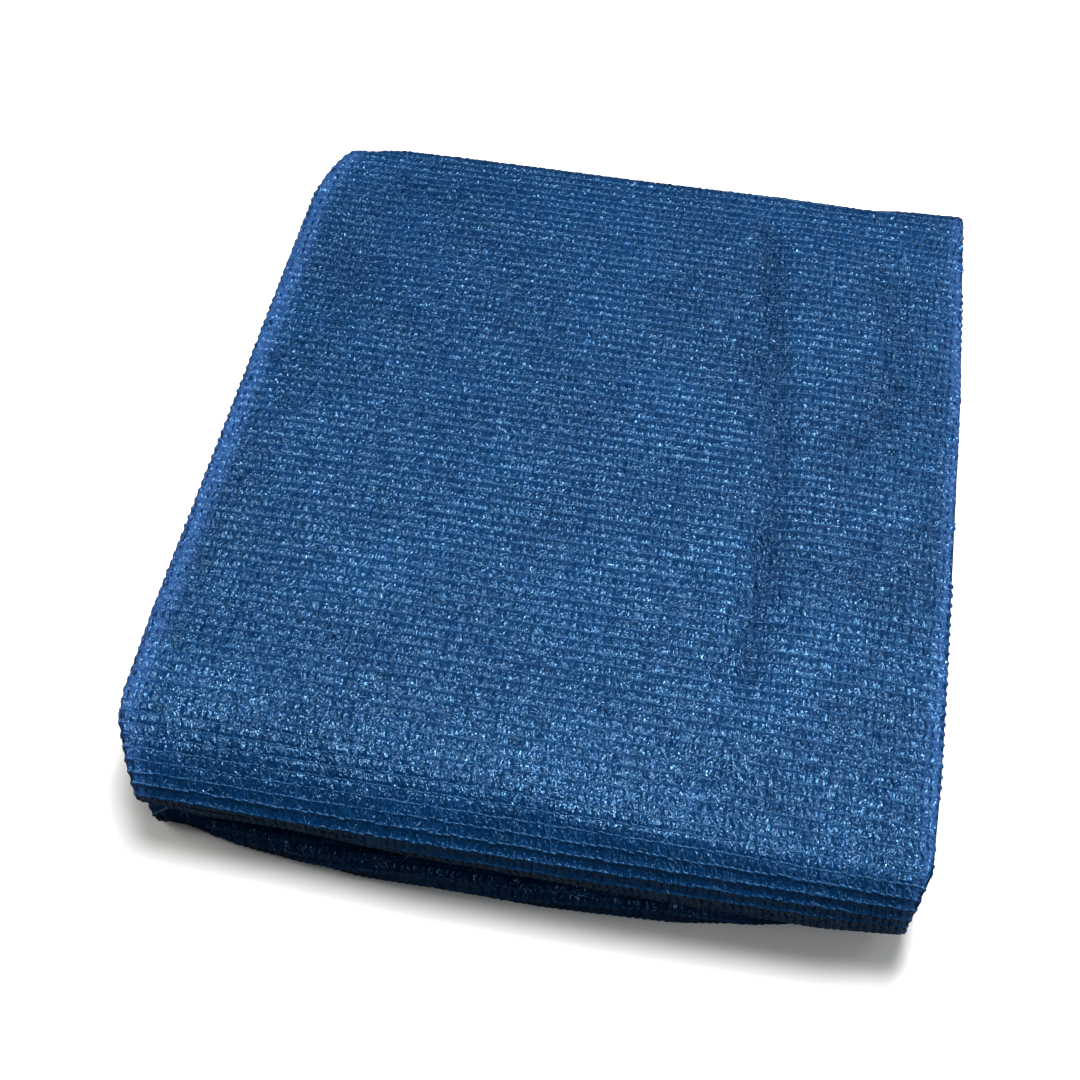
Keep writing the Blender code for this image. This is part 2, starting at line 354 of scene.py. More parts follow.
def settle(points):
    """Puts the form, made round its own origin in millimetres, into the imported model's box."""
    placed = (points + SHIFT) * MM
    placed[..., 2] = np.maximum(placed[..., 2], 0.0)
    return placed


print("sheet", middle.shape, "shift", SHIFT.round(2))
print("height off by", round(float(own_high[2] - own_low[2] - high[2]), 2), "mm")

# %% [markdown]
# ## The base sheet
# A thin sheet carries the knit. It has the whole double fold, so every layer shows at the sides
# and the back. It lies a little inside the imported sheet, which leaves room for the ribs and tapes
# on its outer face.

# %% Mesh helpers


def new_object(name, points, faces, smooth_shading=True):
    """A mesh object from arrays of points and of faces that all have as many corners."""
    mesh = bpy.data.meshes.new(name)
    corners = faces.shape[1]
    mesh.vertices.add(len(points))
    mesh.vertices.foreach_set("co", points.astype(np.float32).ravel())
    mesh.loops.add(faces.size)
    mesh.loops.foreach_set("vertex_index", faces.astype(np.int32).ravel())
    mesh.polygons.add(len(faces))
    mesh.polygons.foreach_set("loop_start", np.arange(0, faces.size, corners, dtype=np.int32))
    mesh.polygons.foreach_set("loop_total", np.full(len(faces), corners, dtype=np.int32))
    mesh.update(calc_edges=True)
    mesh.polygons.foreach_set("use_smooth", np.full(len(faces), smooth_shading))
    thing = bpy.data.objects.new(name, mesh)
    bpy.context.scene.collection.objects.link(thing)
    return thing


def grid_faces(rows, columns):
    """Quads between the neighbours of a grid of points numbered row by row."""
    first = (np.arange(rows - 1)[:, None] * columns + np.arange(columns - 1)).ravel()
    return np.stack([first, first + 1, first + columns + 1, first + columns], axis=1)


def store(thing, name, values, domain="POINT"):
    attribute = thing.data.attributes.new(name, "FLOAT", domain)
    attribute.data.foreach_set("value", np.asarray(values, np.float32).ravel())


def lengths(points, axis):
    """Distance travelled along a grid of points, from its first row or column."""
    steps = np.linalg.norm(np.diff(points, axis=axis), axis=-1)
    start = np.zeros_like(np.take(steps, [0], axis=axis))
    return np.concatenate([start, np.cumsum(steps, axis=axis)], axis=axis)


print("a grid of 3 by 4 points has", len(grid_faces(3, 4)), "quads")

# %% Base sheet
BASE_THICKNESS = 0.8
cloth = new_object("knitted_sheet", settle(middle).reshape(-1, 3), grid_faces(*middle.shape[:2]))
travelled, width_way = lengths(middle, 0), lengths(middle, 1)
zero = travelled[FIRST_TOP + TOP_STOPS[::-1].index(MIDDLE_STOP)]
thickness = cloth.modifiers.new("thickness", "SOLIDIFY")
thickness.thickness = BASE_THICKNESS * MM
thickness.offset = 0.0

# %% [markdown]
# ## Where the knit lies
# The ribs run across the packet, one every 4.23 mm of the strip's length, and each stitch of a
# rib takes 2.59 mm. The strip's two faces are resampled to a fine grid, with distances measured
# over the folds, so the pitch stays true round the front and the sides. From then on a piece of
# the knit is placed by its rib and stitch number.

# %% The knit's grids
RIB_PITCH = 25.4 / 6
STITCH_PITCH = RIB_PITCH / 1.633
FINE = 0.65
OUTER_FIRST = 1 + len(ACROSS)
OUTER_LAST = OUTER_FIRST + LEFT_POINTS + len(ACROSS) + RIGHT_POINTS
Knit = namedtuple("Knit", "rib_way stitch_way crossed grid normal station_way")


def read_between(places, at, values):
    return np.stack([np.interp(places, at, values[:, axis]) for axis in range(3)], axis=-1)


def knit_face(first, last, facing):
    """
    One face of the strip as a grid spaced by distance along and across it. "facing" is 1 for the
    face that looks up on the top pass, and -1 for the other.
    """
    face = middle[:, first:last]
    face_travelled = travelled[:, first:last] - zero[first:last]
    rib_way = np.arange(face_travelled[0].max(), face_travelled[-1].min(), FINE)
    lines = zip(face_travelled.T, face.transpose(1, 0, 2))
    spaced = np.stack([read_between(rib_way, *line) for line in lines], axis=1)
    top_row = int(np.searchsorted(rib_way, 0.0))
    centre = int(np.abs(spaced[top_row, :, 0]).argmin())
    crossed = lengths(spaced, 1)
    crossed -= crossed[:, [centre]]
    stitch_way = np.arange(crossed[:, 0].min(), crossed[:, -1].max(), FINE)
    normal = np.cross(np.gradient(spaced, axis=0), np.gradient(spaced, axis=1))
    up = facing * np.sign(normal[top_row, centre, 2])
    normal *= up / np.linalg.norm(normal, axis=2, keepdims=True)
    grid = np.stack([read_between(stitch_way, *row) for row in zip(crossed, spaced)])
    grid_normal = np.stack([read_between(stitch_way, *row) for row in zip(crossed, normal)])
    return Knit(rib_way, stitch_way, crossed, grid, grid_normal, face_travelled[:, centre])


OUTSIDE = knit_face(OUTER_FIRST, OUTER_LAST, 1)
UNDERSIDE = knit_face(0, OUTER_FIRST + 1, -1)
for knit in (OUTSIDE, UNDERSIDE):
    print("knit grid", knit.grid.shape, "ribs", knit.rib_way[[0, -1]].round(0), end=" ")
    print("stitches", knit.stitch_way[[0, -1]].round(0))

# %% Places on the knit


def whole_and_rest(place, count):
    """A place on a line of that many points, as the point before it and the part left over."""
    place = np.clip(place, 0, count - 1.001)
    whole = place.astype(int)
    return whole, place - whole


def on_cloth(knit, rib, stitch, up):
    """Points at distances along the strip and along the ribs, raised off the sheet's middle."""
    r, fr = whole_and_rest((rib - knit.rib_way[0]) / FINE, len(knit.rib_way))
    c, fc = whole_and_rest((stitch - knit.stitch_way[0]) / FINE, len(knit.stitch_way))
    fr, fc, up = fr[..., None], fc[..., None], up[..., None]
    out = 0.0
    for dr, wr in ((0, 1 - fr), (1, fr)):
        for dc, wc in ((0, 1 - fc), (1, fc)):
            out = out + wr * wc * (knit.grid[r + dr, c + dc] + knit.normal[r + dr, c + dc] * up)
    return out


def nearest(knit, rib, stitch):
    """Row and column of the knit's grid nearest to the middle of each cell."""
    row = ((rib + 0.5) * RIB_PITCH - knit.rib_way[0]) / FINE
    column = ((stitch + 0.5) * STITCH_PITCH - knit.stitch_way[0]) / FINE
    row = np.clip(row, 0, len(knit.rib_way) - 1)
    column = np.clip(column, 0, len(knit.stitch_way) - 1)
    return row.astype(int), column.astype(int)


def edges(knit, rib):
    """How far along each rib the cloth's turned-in edges lie, at the left and at the right."""
    way = rib * RIB_PITCH
    return [np.interp(way, knit.rib_way, knit.crossed[:, side]) for side in (0, -1)]


print("edges of the middle rib", [round(float(way), 1) for way in edges(OUTSIDE, 0)])

# %% [markdown]
# ## Which parts of the knit are made
# Only the outside shows: the top with the fold behind it, the big front fold, the lower bundle's
# front, and the backs of two inner folds, where the strip turns the other way and shows its other
# face. Of all other passes only the rounded sides show. Each zone is a span of the strip's
# length, and gets its own pieces, so no mesh grows too heavy.

# %% Zones
TOP_SPLIT = 130
LAP, FRONT_LAP, LOWER_LAP, BACK_LAP = 6, 8, 24, 9
Zone = namedtuple("Zone", "name knit first last")


def way_at(number, knit=OUTSIDE):
    return float(knit.station_way[number])


def back_zone(name, fold):
    first, last = way_at(fold, UNDERSIDE), way_at(fold + SMALL_STEPS, UNDERSIDE)
    return Zone(name, UNDERSIDE, first - BACK_LAP, last + BACK_LAP)


FOLD_BELOW = way_at(LOWER_FRONT) - LOWER_LAP, way_at(LOWER_FRONT + SMALL_STEPS) + LAP
ZONES = (
    Zone("top_back", OUTSIDE, way_at(BACK_67) - LAP, way_at(FIRST_TOP) + TOP_SPLIT),
    Zone("top_front", OUTSIDE, way_at(FIRST_TOP) + TOP_SPLIT, way_at(TOP_END) + LAP),
    Zone("front_fold", OUTSIDE, way_at(TOP_END) + LAP, way_at(FRONT_END) + FRONT_LAP),
    Zone("lower_fold", OUTSIDE, *FOLD_BELOW),
    back_zone("back_folds", BACK_34),
    back_zone("low_back_fold", BACK_12),
)
for zone in ZONES:
    print(zone.name, round(zone.first), round(zone.last), "mm along the strip")

# %% Cells of the knit
EDGE_WIDTH = 15.0


def ribs_between(first, last):
    return np.arange(math.ceil(first / RIB_PITCH), math.floor(last / RIB_PITCH) + 1)


def stitches_between(left, right):
    return np.arange(math.ceil(left / STITCH_PITCH), math.floor(right / STITCH_PITCH))


def side_ribs():
    """Ribs of the covered passes, which show only at their two ends."""
    every = ribs_between(OUTSIDE.rib_way[0], OUTSIDE.rib_way[-1])
    ways = every * RIB_PITCH
    hidden = np.ones(len(every), bool)
    for zone in ZONES:
        if zone.knit is OUTSIDE:
            hidden &= (ways < zone.first) | (ways > zone.last)
    return every[hidden]


def cells(knit, every_rib, from_left=0.0, from_right=0.0):
    """Rib and stitch number of each cell on some ribs, or only of those near one side."""
    every_stitch = stitches_between(knit.stitch_way[0], knit.stitch_way[-1])
    rib, stitch = np.meshgrid(every_rib, every_stitch, indexing="ij")
    left, right = edges(knit, rib)
    way = stitch * STITCH_PITCH
    inside = (way > left) & (way + STITCH_PITCH < right)
    if from_left:
        inside &= way < left + from_left
    if from_right:
        inside &= way > right - from_right
    return knit, rib[inside], stitch[inside]


CELLS = {zone.name: cells(zone.knit, ribs_between(zone.first, zone.last)) for zone in ZONES}
CELLS["left_side"] = cells(OUTSIDE, side_ribs(), from_left=EDGE_WIDTH)
CELLS["right_side"] = cells(OUTSIDE, side_ribs(), from_right=EDGE_WIDTH)
print("cells", {name: len(found[1]) for name, found in CELLS.items()})

# %% [markdown]
# ## How the knit changes over the packet
# Three things vary from cell to cell. Over a fold the ribs open and the tapes stretch. Near the
# two rounded sides the colour is painted paler: painted light, standing in for light that shines
# through the film at the sides. And the film is crumpled in patches, most of all in the troughs,
# where the cloth is gathered; more crumpled cells are also coloured darker, which in the troughs is
# painted shade.

# %% Folds and sides
FLAT_FACING, FACING_SPAN = 0.985, 0.35
# Width and fade of the paler blue painted on the sides, a painted light for light shining through
# the film there.
EDGE_BAND, EDGE_FADE = 8.0, 8.0


def bending(knit, rib, stitch):
    """0 where a cell lies flat, rising to 1 as it turns over a fold."""
    return smooth((FLAT_FACING - knit.normal[nearest(knit, rib, stitch)][:, 2]) / FACING_SPAN)


def near_side(knit, rib, stitch):
    """1 just past the turns round the packet's two sides, fading to 0 towards the middle. It masks
    the paler blue painted on the sides as painted light.
    """
    left, right = edges(knit, rib)
    past_left = stitch * STITCH_PITCH - left - math.pi * LAYER_STEP
    past_right = right - stitch * STITCH_PITCH - math.pi * LAYER_STEP / 2
    return np.maximum(*(smooth((EDGE_BAND - past) / EDGE_FADE) for past in (past_left, past_right)))


print("mean bending on the front fold", bending(*CELLS["front_fold"]).mean().round(2))

# %% Patches of crumpled film
RANDOM = np.random.default_rng(11)
# More crumple in the troughs raises the wrinkles there and, through the material, paints them
# darker as painted shade.
DEEPEST, TROUGH_CRUMPLE_AND_SHADE = 2.3, 0.60
PATCH, PATCH_LEAST, PATCH_MOST = 30.0, 0.82, 1.18
PATCH_GRID = [int(np.ptp(ways) / PATCH) + 2 for ways in (OUTSIDE.rib_way, OUTSIDE.stitch_way)]
PATCHES = RANDOM.uniform(PATCH_LEAST, PATCH_MOST, PATCH_GRID)


def patchy(rib, stitch):
    """A factor near 1 that changes slowly over the cloth."""
    r, fr = whole_and_rest((rib * RIB_PITCH - OUTSIDE.rib_way[0]) / PATCH, PATCH_GRID[0])
    c, fc = whole_and_rest((stitch * STITCH_PITCH - OUTSIDE.stitch_way[0]) / PATCH, PATCH_GRID[1])
    fr, fc = smooth(fr), smooth(fc)
    near = PATCHES[r, c] * (1 - fc) + PATCHES[r, c + 1] * fc
    far = PATCHES[r + 1, c] * (1 - fc) + PATCHES[r + 1, c + 1] * fc
    return near * (1 - fr) + far * fr


def crumple_and_shade(knit, rib, stitch):
    """How crumpled the film of each cell is, near 1 on the whole and more in the troughs. The
    material also paints the more crumpled cells darker, which in the troughs is painted shade.
    """
    x, y, _ = knit.grid[nearest(knit, rib, stitch)].T
    way = rib * RIB_PITCH
    on_top = (way > way_at(FIRST_TOP)) & (way < way_at(TOP_END)) & (knit is OUTSIDE)
    trough_share = on_top * np.clip(trough_depth(x, y) / DEEPEST, 0, 1)
    return patchy(rib, stitch) * (1 + TROUGH_CRUMPLE_AND_SHADE * trough_share)


top_crumple = crumple_and_shade(*CELLS["top_front"])
print("crumple on the top", top_crumple.min().round(2), "to", top_crumple.max().round(2))

# %% One mesh from many cells


def add_strands(name, cell_list, points, along_strand, across_strand, smooth_shading=True):
    """
    A piece with one strand for each cell. Its points are cells by steps along the strand by
    points across it. The places along and across each strand are kept for its material.
    """
    count, rows, columns = points.shape[:3]
    faces = grid_faces(rows, columns)
    every = (faces[None] + np.arange(count)[:, None, None] * rows * columns).reshape(-1, 4)
    piece = new_object(name, settle(points).reshape(-1, 3), every, smooth_shading)
    store(piece, "tone", np.repeat(RANDOM.random(count), len(faces)), "FACE")
    # The edge mask says where the sides are painted paler, as painted light.
    store(piece, "edge_painted_light", np.repeat(near_side(*cell_list), len(faces)), "FACE")
    # The crumple drives the wrinkles' height, and paints crumpled cells darker: painted shade in
    # the troughs.
    store(piece, "crumple_and_shade", np.repeat(crumple_and_shade(*cell_list), len(faces)), "FACE")
    store(piece, "along", np.broadcast_to(along_strand, points.shape[:3]))
    store(piece, "across", np.broadcast_to(across_strand, points.shape[:3]))
    return piece


print("knitted pieces to make", 3 * len(CELLS))

# %% [markdown]
# ## The ribs
# A rib is a chain of stitches, each a small leaning loop. A chain of beads with slanted waists
# reads the same from a step away. Four points make the half round section of a bead, and four
# such sections make one stitch.

# %% Ribs
RIB_HALF, RIB_FOOT, RIB_TOP = 0.56, 0.30, 0.72
RAISED_ON_FOLD, WIDER_ON_FOLD = 0.40, 0.3
BEAD_AT = np.array([0.0, 0.34, 0.68, 1.0])
BEAD_SIZE = np.array([0.55, 1.0, 0.85, 0.55])
BEAD_SLANT, BEAD_SPREAD, BEAD_WANDER = 0.55, 0.12, 0.16
WAIST = 0.35
SECTION_OUT = np.array([-1.0, -0.5, 0.5, 1.0])
SECTION_UP = np.array([0.0, 1.0, 1.0, 0.0])


def make_ribs(name, knit, rib, stitch):
    """One bead for each cell. On a fold it is wider, and its thick part stands higher."""
    count = len(rib)
    bend = bending(knit, rib, stitch)[:, None, None]
    size = (BEAD_SIZE * (1 + BEAD_SPREAD * RANDOM.standard_normal((count, 1))))[:, :, None]
    wander = BEAD_WANDER * RANDOM.standard_normal((count, 1, 1))
    across = SECTION_OUT * RIB_HALF * (1 + WIDER_ON_FOLD * bend) * size + wander
    knot = (BEAD_SIZE[None, :, None] - WAIST) / (1 - WAIST)
    up = RIB_FOOT + SECTION_UP * ((RIB_TOP - RIB_FOOT) * size + RAISED_ON_FOLD * bend * knot)
    stitch_way = (stitch[:, None, None] + BEAD_AT[None, :, None]) * STITCH_PITCH
    way = stitch_way + BEAD_SLANT * SECTION_OUT
    points = on_cloth(knit, rib[:, None, None] * RIB_PITCH + across, way, up)
    return add_strands(name, (knit, rib, stitch), points, way, across)


print("a rib stands", RIB_TOP, "mm off the middle of its sheet")

# %% [markdown]
# ## The tapes
# A flat tape crosses from rib to rib in every cell, and a second one leans the other way under
# it. Each is creased along its length and tilted a little at random. The creases are what makes
# the cloth glint: here and there a facet faces the light and flashes, and its neighbours stay
# dark.

# %% Sizes of a tape
TAPE_HALF, TAPE_LOW, TAPE_HIGH = 0.98, 0.46, 0.80
TAPE_FIRST, TAPE_LAST = 0.03, 0.97
TAPE_AT = np.array([0.0, 0.33, 0.67, 1.0])
TAPE_ARCH = np.array([0.0, 1.0, 1.0, 0.0])
TAPE_OUT = np.array([-1.0, 0.0, 1.0])
START_SPREAD, CENTRE_SPREAD = 0.28, 0.12
SLANT_RANGE, WIDTH_RANGE, ARCH_RANGE = (0.3, 0.35), (0.7, 0.5), (0.6, 0.6)
TILT_SPREAD, CREASE_SPREAD = (0.20, 0.08), (0.12, 0.07)
SMOOTHER_ON_FOLD, SUNK_ON_FOLD, ENDS_ON_FOLD = 0.4, 0.30, 0.45
CLEAR_OF_SHEET = 0.44
print("a tape is up to", round(2 * TAPE_HALF * sum(WIDTH_RANGE), 2), "mm wide")

# %% Tapes


def between(count, least, span):
    """One random factor for each tape."""
    return least + span * RANDOM.random((count, 1))


def uneven(count, whole, each):
    """Random amounts for the steps of each tape: a part for all of it, and a part for each."""
    shared = whole * RANDOM.standard_normal((count, 1))
    return shared + each * RANDOM.standard_normal((count, len(TAPE_AT)))


def make_tapes(name, knit, rib, stitch, lean, lift):
    """One tape for each cell, from its rib to the next."""
    count = len(rib)
    start = 0.5 * STITCH_PITCH + START_SPREAD * RANDOM.standard_normal((count, 1))
    slant = lean * STITCH_PITCH * between(count, *SLANT_RANGE)
    centre = start + slant * (TAPE_AT - 0.5)
    centre = centre + CENTRE_SPREAD * RANDOM.standard_normal((count, len(TAPE_AT)))
    across = (TAPE_HALF * between(count, *WIDTH_RANGE))[:, :, None] * TAPE_OUT
    bend = bending(knit, rib, stitch)[:, None]
    film = (1 - SMOOTHER_ON_FOLD * bend) * crumple_and_shade(knit, rib, stitch)[:, None]
    tilt = uneven(count, *TILT_SPREAD) * film
    crease = uneven(count, *CREASE_SPREAD) * film
    arch = TAPE_LOW + (TAPE_HIGH - TAPE_LOW) * TAPE_ARCH * between(count, *ARCH_RANGE) + lift
    arch = arch - SUNK_ON_FOLD * bend * TAPE_ARCH + ENDS_ON_FOLD * bend * (1 - TAPE_ARCH)
    up = arch[:, :, None] + tilt[:, :, None] * TAPE_OUT
    up = np.maximum(up + crease[:, :, None] * (1 - np.abs(TAPE_OUT)), CLEAR_OF_SHEET + lift / 2)
    way = stitch[:, None, None] * STITCH_PITCH + centre[:, :, None] + across
    along_tape = TAPE_AT[None, :, None]
    rib_place = rib[:, None, None] + TAPE_FIRST + (TAPE_LAST - TAPE_FIRST) * along_tape
    points = on_cloth(knit, rib_place * RIB_PITCH + 0 * way, way, up)
    return add_strands(name, (knit, rib, stitch), points, along_tape * RIB_PITCH, across, False)


print("points in a tape", len(TAPE_AT) * len(TAPE_OUT))

# %% Knit every zone
UNDER_LIFT = -0.12
ribs, tapes = [], []
for name, found in CELLS.items():
    ribs.append(make_ribs("ribs_" + name, *found))
    tapes.append(make_tapes("tapes_" + name, *found, 1.0, 0.0))
    tapes.append(make_tapes("under_tapes_" + name, *found, -1.0, UNDER_LIFT))
print("ribs", [2 * len(piece.data.polygons) for piece in ribs], "triangles")
print("tapes", [2 * len(piece.data.polygons) for piece in tapes], "triangles")

# %% [markdown]
# ## Plastic thread
# All of the net is one blue polyethylene. The ribs are drawn thread and the tapes are slit film.
# They share a tone that drifts slowly over the cloth and changes a little from strand to strand.
# Crumpled film is coloured darker, which in the troughs is painted shade and elsewhere a random
# change by patch, and the rounded sides are painted paler, as painted light for light shining
# through the film there. That is one node group, used by every material with its own values. A few
# helpers keep the node trees readable: an input is given either as a number or as another node's
# output.

# %% Node helpers


def put(tree, value, socket):
    """Gives an input a value, or links another node's output to it."""
    if isinstance(value, bpy.types.NodeSocket):
        tree.links.new(value, socket)
    else:
        socket.default_value = value


def add_node(tree, kind, inputs=None, **settings):
    node = tree.nodes.new(kind)
    for name, setting in settings.items():
        setattr(node, name, setting)
    for name, value in (inputs or {}).items():
        put(tree, value, node.inputs[name])
    return node


def attribute(tree, name):
    return add_node(tree, "ShaderNodeAttribute", attribute_name=name).outputs["Fac"]


def calculate(tree, operation, *values):
    node = add_node(tree, "ShaderNodeMath", dict(enumerate(values)), operation=operation)
    return node.outputs["Value"]


def mixed(tree, share, first, second):
    """A colour between two others. The node repeats its sockets' names, so they go by number."""
    inputs = {"Factor": share, 6: first, 7: second}
    return add_node(tree, "ShaderNodeMix", inputs, data_type="RGBA").outputs[2]


def new_group(name, inputs, outputs):
    """A node group with its sockets, and what its inner nodes read from and write to."""
    tree = bpy.data.node_groups.new(name, "ShaderNodeTree")
    for in_out, sockets in (("INPUT", inputs), ("OUTPUT", outputs)):
        for label, socket_type in sockets.items():
            tree.interface.new_socket(label, in_out=in_out, socket_type=socket_type)
    given = tree.nodes.new("NodeGroupInput").outputs
    return tree, given, tree.nodes.new("NodeGroupOutput").inputs


COLOUR, NUMBER = "NodeSocketColor", "NodeSocketFloat"
print("a group's sockets are of type", COLOUR, "or", NUMBER)

# %% Node group for the plastic's tone
DRIFT_SCALE, DRIFT_DETAIL = 28.0, 2.0
TONE_SHARE, DRIFT_SHARE, CRUMPLE_SHADE_SHARE, TONE_SHIFT = 0.65, 1.2, 0.9, -0.42


def plastic_tone_group():
    tree, given, result = new_group(
        "plastic_tone",
        {
            "Dark": COLOUR, "Light": COLOUR, "Edge painted light": COLOUR,
            "Roughness low": NUMBER, "Roughness high": NUMBER,
        },
        {"Color": COLOUR, "Roughness": NUMBER},
    )
    tone = attribute(tree, "tone")
    place = add_node(tree, "ShaderNodeTexCoord").outputs["Object"]
    drift = add_node(
        tree, "ShaderNodeTexNoise", {"Vector": place, "Scale": DRIFT_SCALE, "Detail": DRIFT_DETAIL}
    )
    # Painted shade: the more crumpled a cell, the darker its colour; in the troughs this stands in
    # for their shade, elsewhere it changes at random by patch.
    crumpled, uncrumpled = attribute(tree, "crumple_and_shade"), TONE_SHIFT + CRUMPLE_SHADE_SHARE
    crumple_shade = calculate(tree, "MULTIPLY_ADD", crumpled, -CRUMPLE_SHADE_SHARE, uncrumpled)
    drifting = calculate(tree, "MULTIPLY_ADD", drift.outputs["Fac"], DRIFT_SHARE, crumple_shade)
    share = calculate(tree, "MULTIPLY_ADD", tone, TONE_SHARE, drifting)
    own = mixed(tree, share, given["Dark"], given["Light"])
    # Painted light: near the rounded sides the colour is mixed towards the paler edge blue.
    put(tree, mixed(tree, attribute(tree, "edge_painted_light"), own, given["Edge painted light"]), result["Color"])
    rough = add_node(tree, "ShaderNodeMapRange", {
        "Value": tone, "To Min": given["Roughness low"], "To Max": given["Roughness high"],
    })
    put(tree, rough.outputs["Result"], result["Roughness"])
    return tree


PLASTIC_TONE = plastic_tone_group()
print("node group", PLASTIC_TONE.name, "with", len(PLASTIC_TONE.nodes), "nodes")

# %% [markdown]
# Thin film crumples finer than any mesh here. A second group gives the height of those wrinkles:
# noise in the strand's own coordinates, long along it and short across it, with another patch of
# the noise for every strand. The more crumpled the film is, the higher they are.

# %% Node group for the wrinkles
NOISE_PER_TONE = 60.0


def wrinkle_group():
    tree, given, result = new_group(
        "strand_wrinkles",
        {"Per mm along": NUMBER, "Per mm across": NUMBER, "Slant": NUMBER},
        {"Height": NUMBER},
    )
    along_it, across_it = attribute(tree, "along"), attribute(tree, "across")
    slanted = calculate(tree, "MULTIPLY_ADD", along_it, given["Slant"], across_it)
    place = add_node(tree, "ShaderNodeCombineXYZ", {
        0: calculate(tree, "MULTIPLY", along_it, given["Per mm along"]),
        1: calculate(tree, "MULTIPLY", slanted, given["Per mm across"]),
        2: calculate(tree, "MULTIPLY", attribute(tree, "tone"), NOISE_PER_TONE),
    }).outputs["Vector"]
    noise = add_node(tree, "ShaderNodeTexNoise", {"Vector": place, "Scale": 1.0, "Detail": 1.0})
    raised = calculate(tree, "MULTIPLY", noise.outputs["Fac"], attribute(tree, "crumple_and_shade"))
    put(tree, raised, result["Height"])
    return tree


WRINKLES = wrinkle_group()
print("node group", WRINKLES.name, "with", len(WRINKLES.nodes), "nodes")

# %% [markdown]
# Three materials use the groups. The base sheet is dull, and coloured darker than the strands on
# it:
# painted shade, standing in for the shade that lies under them. The ribs are satin, with slanting
# wrinkles that read as twisted thread. The tapes are glossy film, wrinkled most. The shine of such
# plastic film is tinted, so it has a blue of its own.

# %% Finishes
Finish = namedtuple(
    "Finish", "dark light rough_low rough_high specular wrinkle_depth per_along per_across slant"
)
FINISHES = {
    # Painted shade: the base sheet's colours are a darker copy of the strands' blue, for the shade
    # under the strands.
    "shaded_base": Finish(
        dark=(0.0006, 0.009, 0.030), light=(0.0009, 0.014, 0.046),
        rough_low=0.75, rough_high=0.85, specular=0.10,
        wrinkle_depth=0.0, per_along=1.0, per_across=1.0, slant=0.0,
    ),
    "rib": Finish(
        dark=(0.0012, 0.016, 0.053), light=(0.0018, 0.026, 0.083),
        rough_low=0.26, rough_high=0.40, specular=0.54,
        wrinkle_depth=0.20, per_along=0.3, per_across=2.2, slant=1.1,
    ),
    "tape": Finish(
        dark=(0.0008, 0.013, 0.047), light=(0.0014, 0.022, 0.077),
        rough_low=0.10, rough_high=0.20, specular=0.62,
        wrinkle_depth=1.00, per_along=0.45, per_across=1.1, slant=0.15,
    ),
}
SHINE_TINT = (0.26, 0.60, 1.0)
# Painted light: the paler blue mixed in near the rounded sides, for light shining through the film
# there.
EDGE_PAINTED_LIGHT = (0.012, 0.045, 0.140)
print("finishes", sorted(FINISHES))

# %% Materials


def plastic(name, finish):
    material = bpy.data.materials.new(name)
    material.use_nodes = True
    tree = material.node_tree
    shader = tree.nodes["Principled BSDF"]
    tone = add_node(tree, "ShaderNodeGroup", {
        "Dark": (*finish.dark, 1), "Light": (*finish.light, 1), "Edge painted light": (*EDGE_PAINTED_LIGHT, 1),
        "Roughness low": finish.rough_low, "Roughness high": finish.rough_high,
    }, node_tree=PLASTIC_TONE)
    put(tree, tone.outputs["Color"], shader.inputs["Base Color"])
    put(tree, tone.outputs["Roughness"], shader.inputs["Roughness"])
    shader.inputs["Specular IOR Level"].default_value = finish.specular
    shader.inputs["Specular Tint"].default_value = (*SHINE_TINT, 1)
    if finish.wrinkle_depth:
        wrinkles = add_node(tree, "ShaderNodeGroup", {
            "Per mm along": finish.per_along, "Per mm across": finish.per_across,
            "Slant": finish.slant,
        }, node_tree=WRINKLES)
        bump = add_node(tree, "ShaderNodeBump", {
            "Strength": 1.0, "Distance": finish.wrinkle_depth * MM,
            "Height": wrinkles.outputs["Height"],
        })
        put(tree, bump.outputs["Normal"], shader.inputs["Normal"])
    return material


MATERIALS = {name: plastic("blue net " + name, finish) for name, finish in FINISHES.items()}
for name, dressed in (("shaded_base", [cloth]), ("rib", ribs), ("tape", tapes)):
    for piece in dressed:
        piece.data.materials.append(MATERIALS[name])
print("materials", sorted(MATERIALS))

# %% [markdown]
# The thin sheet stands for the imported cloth. The ribs and tapes are part of the same cloth and
# go with it.

# %% Pieces
for piece in [cloth, *ribs, *tapes]:
    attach(piece, "root")
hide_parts(CLOTH_NODE)
print("pieces", 1 + len(ribs) + len(tapes))

# %% [markdown]
# ## Floor and light
# The packet lies on white card. The card is white to the camera, and darker to the light that
# bounces off it, which keeps the gaps under the folds dark.

# %% Floor
FLOOR_SIZE = 16.0
CARD_ROUGHNESS, CARD_SPECULAR = 0.9, 0.1
CARD_TO_LIGHT = (0.07, 0.07, 0.06, 1)
CARD_TO_CAMERA = (0.74, 0.74, 0.74, 1)


def white_card():
    material = bpy.data.materials.new("white card")
    material.use_nodes = True
    tree = material.node_tree
    shader = tree.nodes["Principled BSDF"]
    shader.inputs["Roughness"].default_value = CARD_ROUGHNESS
    shader.inputs["Specular IOR Level"].default_value = CARD_SPECULAR
    seen = add_node(tree, "ShaderNodeLightPath").outputs["Is Camera Ray"]
    shade = mixed(tree, seen, CARD_TO_LIGHT, CARD_TO_CAMERA)
    put(tree, shade, shader.inputs["Base Color"])
    return material


bpy.ops.mesh.primitive_plane_add(size=FLOOR_SIZE, location=(0, 0, 0))
floor = bpy.context.object
floor.name = "floor"
floor.data.materials.append(white_card())
print("floor", FLOOR_SIZE, "m")

# %% [markdown]
# A broad light stands high up, a little behind the packet, and another one over it, so that flat
# facets throw their shine at the camera and the front fold falls into shade. Weaker lights from
# the back, the left and the right keep the sides from going black.

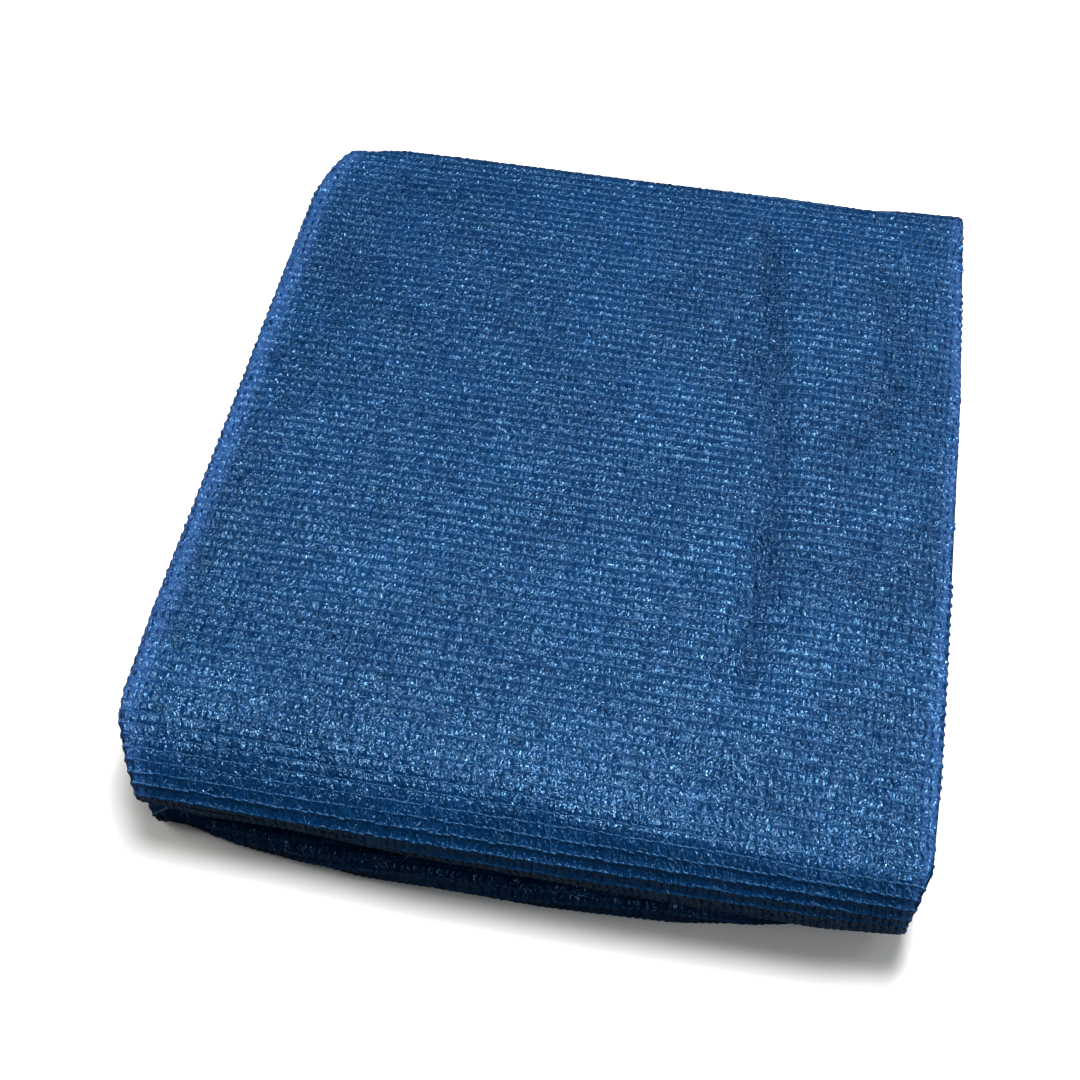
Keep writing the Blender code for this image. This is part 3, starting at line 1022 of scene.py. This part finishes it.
# %% Lamps
Lamp = namedtuple("Lamp", "name azimuth elevation distance size watts colour")
LAMPS = (
    Lamp("back softbox", 60, 75, 1.1, 0.22, 14.2, (1.0, 1.0, 1.0)),
    Lamp("overhead", 60, 88, 1.3, 0.5, 20.0, (1.0, 1.0, 1.0)),
    Lamp("back fill", 45, 20, 1.5, 0.6, 4.0, (0.97, 0.99, 1.0)),
    Lamp("left softbox", 178, 25, 1.4, 0.6, 11.0, (1.0, 0.97, 0.88)),
    Lamp("right softbox", -40, 25, 0.55, 0.2, 0.6, (0.97, 0.99, 1.0)),
)
AIM = np.array([0.0, 0.0, 0.03])


def add_lamp(lamp):
    data = bpy.data.lights.new(lamp.name, "AREA")
    data.shape = "SQUARE"
    data.size = lamp.size
    data.energy = lamp.watts
    data.color = lamp.colour
    light = bpy.data.objects.new(lamp.name, data)
    around, up = math.radians(lamp.azimuth), math.radians(lamp.elevation)
    level = math.cos(up)
    way = np.array([level * math.cos(around), level * math.sin(around), math.sin(up)])
    light.location = AIM + lamp.distance * way
    light.rotation_euler = (math.pi / 2 - up, 0, around + math.pi / 2)
    bpy.context.scene.collection.objects.link(light)


for lamp in LAMPS:
    add_lamp(lamp)
print("lamps", [lamp.name for lamp in LAMPS])

# %% [markdown]
# The room gives light of its own, brightest overhead and nearly none from low down. To the camera
# it is pale all round, so that a low view has no dark horizon behind the card.

# %% The room
ROOM_BRIGHT_WAY = (0.0, 0.20, 0.98)
ROOM_FADE_FROM, ROOM_FADE_TO = 0.3, 0.95
ROOM_DARK, ROOM_BRIGHT, ROOM_SEEN = 0.005, 0.38, 0.6
ROOM_COLOUR = (0.92, 0.96, 1.0, 1)


def soft_room():
    world = bpy.data.worlds.new("room")
    world.use_nodes = True
    tree = world.node_tree
    way = add_node(tree, "ShaderNodeTexCoord").outputs["Generated"]
    towards = add_node(
        tree, "ShaderNodeVectorMath", {0: way, 1: ROOM_BRIGHT_WAY}, operation="DOT_PRODUCT"
    )
    level = add_node(tree, "ShaderNodeMapRange", {
        "Value": towards.outputs["Value"],
        "From Min": ROOM_FADE_FROM, "From Max": ROOM_FADE_TO,
        "To Min": ROOM_DARK, "To Max": ROOM_BRIGHT,
    }, interpolation_type="SMOOTHSTEP")
    to_camera = add_node(tree, "ShaderNodeLightPath").outputs["Is Camera Ray"]
    seen = add_node(
        tree, "ShaderNodeMix", {"Factor": to_camera, "A": level.outputs["Result"], "B": ROOM_SEEN}
    )
    background = tree.nodes["Background"]
    background.inputs["Color"].default_value = ROOM_COLOUR
    put(tree, seen.outputs["Result"], background.inputs["Strength"])
    return world


bpy.context.scene.world = soft_room()
bpy.context.scene.view_settings.view_transform = "Standard"
print("room strength", ROOM_DARK, "to", ROOM_BRIGHT, "and", ROOM_SEEN, "to the camera")
